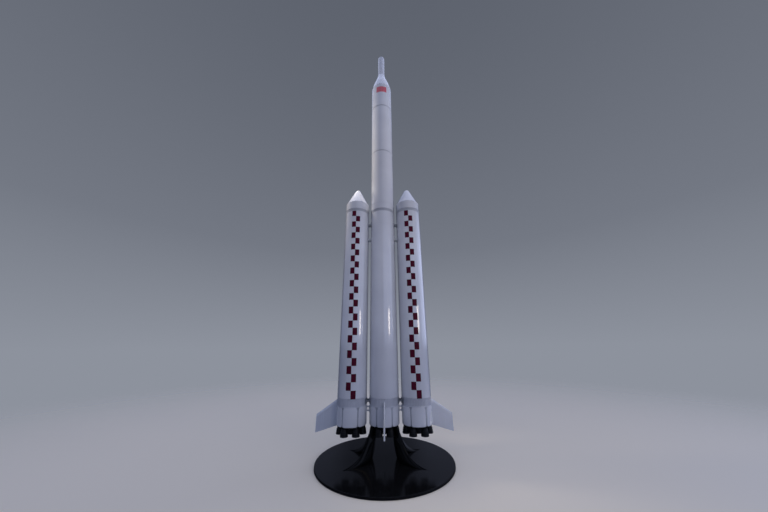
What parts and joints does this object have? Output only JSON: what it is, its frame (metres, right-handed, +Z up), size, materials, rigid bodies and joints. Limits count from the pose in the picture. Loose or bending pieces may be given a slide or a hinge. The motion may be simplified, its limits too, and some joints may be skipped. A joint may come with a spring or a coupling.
{
  "type": "exhibition model of a three-body space rocket",
  "caption": "Tall white display model of a crewed space rocket: a core body between side boosters, tail fins, dark engine nozzles, on curved black legs and a round black base.",
  "frame": {"origin": "on the floor, under the middle of the round base", "axes": "+Z up along the core's axis, -Y towards the front with the core's front fin, +X towards the right-hand booster seen from the front"},
  "size_m": [2.2746, 2.184, 9.6],
  "materials": {
    "white_paint": "high gloss white enamel",
    "grey_paint": "satin grey enamel",
    "red_paint": "gloss dark red enamel squares",
    "fin_paint": "gloss light grey enamel",
    "nozzle_black": "satin black",
    "base_black": "piano black gloss",
    "link_steel": "dark satin"
  },
  "bodies": {
    "root": {"base_disc": "base_black", "booster_left_engines": "nozzle_black", "booster_left_fin": "fin_paint", "booster_left_nose_cone": "white_paint", "booster_left_seam_ring": "grey_paint", "booster_left_shoulder": "white_paint", "booster_left_tail_ring": "grey_paint", "booster_left_tail_skirt": "white_paint", "booster_left_tank": "white_paint", "booster_right_engines": "nozzle_black", "booster_right_fin": "fin_paint", "booster_right_nose_cone": "white_paint", "booster_right_seam_ring": "grey_paint", "booster_right_shoulder": "white_paint", "booster_right_tail_ring": "grey_paint", "booster_right_tail_skirt": "white_paint", "booster_right_tank": "white_paint", "core_engines": "nozzle_black", "core_fin_back": "fin_paint", "core_fin_front": "fin_paint", "core_first_stage": "white_paint", "core_middle_ring": "grey_paint", "core_second_stage": "white_paint", "core_separation_ring": "grey_paint", "core_spacecraft_shroud": "white_paint", "core_tail_ring": "grey_paint", "core_tail_skirt": "white_paint", "core_third_stage": "white_paint", "core_upper_ring": "grey_paint", "escape_cover": "white_paint", "escape_tower": "white_paint", "escape_tower_cap": "white_paint", "link_left_lower": "link_steel", "link_left_middle": "link_steel", "link_left_tail": "link_steel", "link_left_upper": "link_steel", "link_right_lower": "link_steel", "link_right_middle": "link_steel", "link_right_tail": "link_steel", "link_right_upper": "link_steel", "pedestal_leg_back_left": "base_black", "pedestal_leg_back_right": "base_black", "pedestal_leg_front_left": "base_black", "pedestal_leg_front_right": "base_black"}
  },
  "joints": []
}
